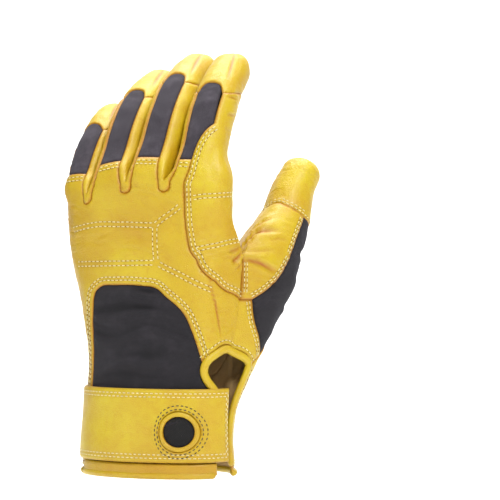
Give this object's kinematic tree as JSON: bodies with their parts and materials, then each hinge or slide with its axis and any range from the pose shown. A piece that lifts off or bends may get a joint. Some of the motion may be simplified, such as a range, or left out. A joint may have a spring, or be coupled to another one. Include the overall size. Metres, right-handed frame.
{
  "type": "climbing glove",
  "caption": "Left-hand leather climbing glove in the shape of a worn hand, with fabric finger backs, reinforced palm and thumb, and a cuff strap with a carabiner hole.",
  "frame": {"origin": "centre of the cuff opening, level with the lowest point of its hem", "axes": "+Z from the cuff to the fingertips, -Y out of the back of the hand, +X towards the thumb"},
  "size_m": [0.1313, 0.1062, 0.2431],
  "materials": {
    "golden_leather": "soft grain, satin",
    "palm_leather": "sueded",
    "grey_fabric": "matt knit",
    "eyelet_mesh": "matt"
  },
  "bodies": {
    "root": {"finger_back_little": "grey_fabric", "finger_pad_little": "palm_leather", "fingertip_little": "golden_leather", "finger_back_ring": "grey_fabric", "finger_pad_ring": "palm_leather", "fingertip_ring": "golden_leather", "finger_back_middle": "grey_fabric", "finger_pad_middle": "palm_leather", "fingertip_middle": "golden_leather", "finger_back_index": "grey_fabric", "finger_pad_index": "palm_leather", "fingertip_index": "golden_leather", "finger_strip_little_ring": "golden_leather", "finger_strip_ring_middle": "golden_leather", "finger_strip_middle_index": "golden_leather", "back_panel": "golden_leather", "palm_panel": "golden_leather", "index_patch": "golden_leather", "thumb_saddle": "golden_leather", "thumb_cap": "golden_leather", "thumb_gusset": "grey_fabric", "thenar_panel": "golden_leather", "palm_patch": "golden_leather", "wrist_panel": "grey_fabric", "slit_binding": "golden_leather", "cuff_hem_back": "golden_leather", "cuff_hem_palm": "golden_leather", "strap": "golden_leather", "strap_eyelet": "golden_leather", "eyelet_mesh": "eyelet_mesh"}
  },
  "joints": []
}
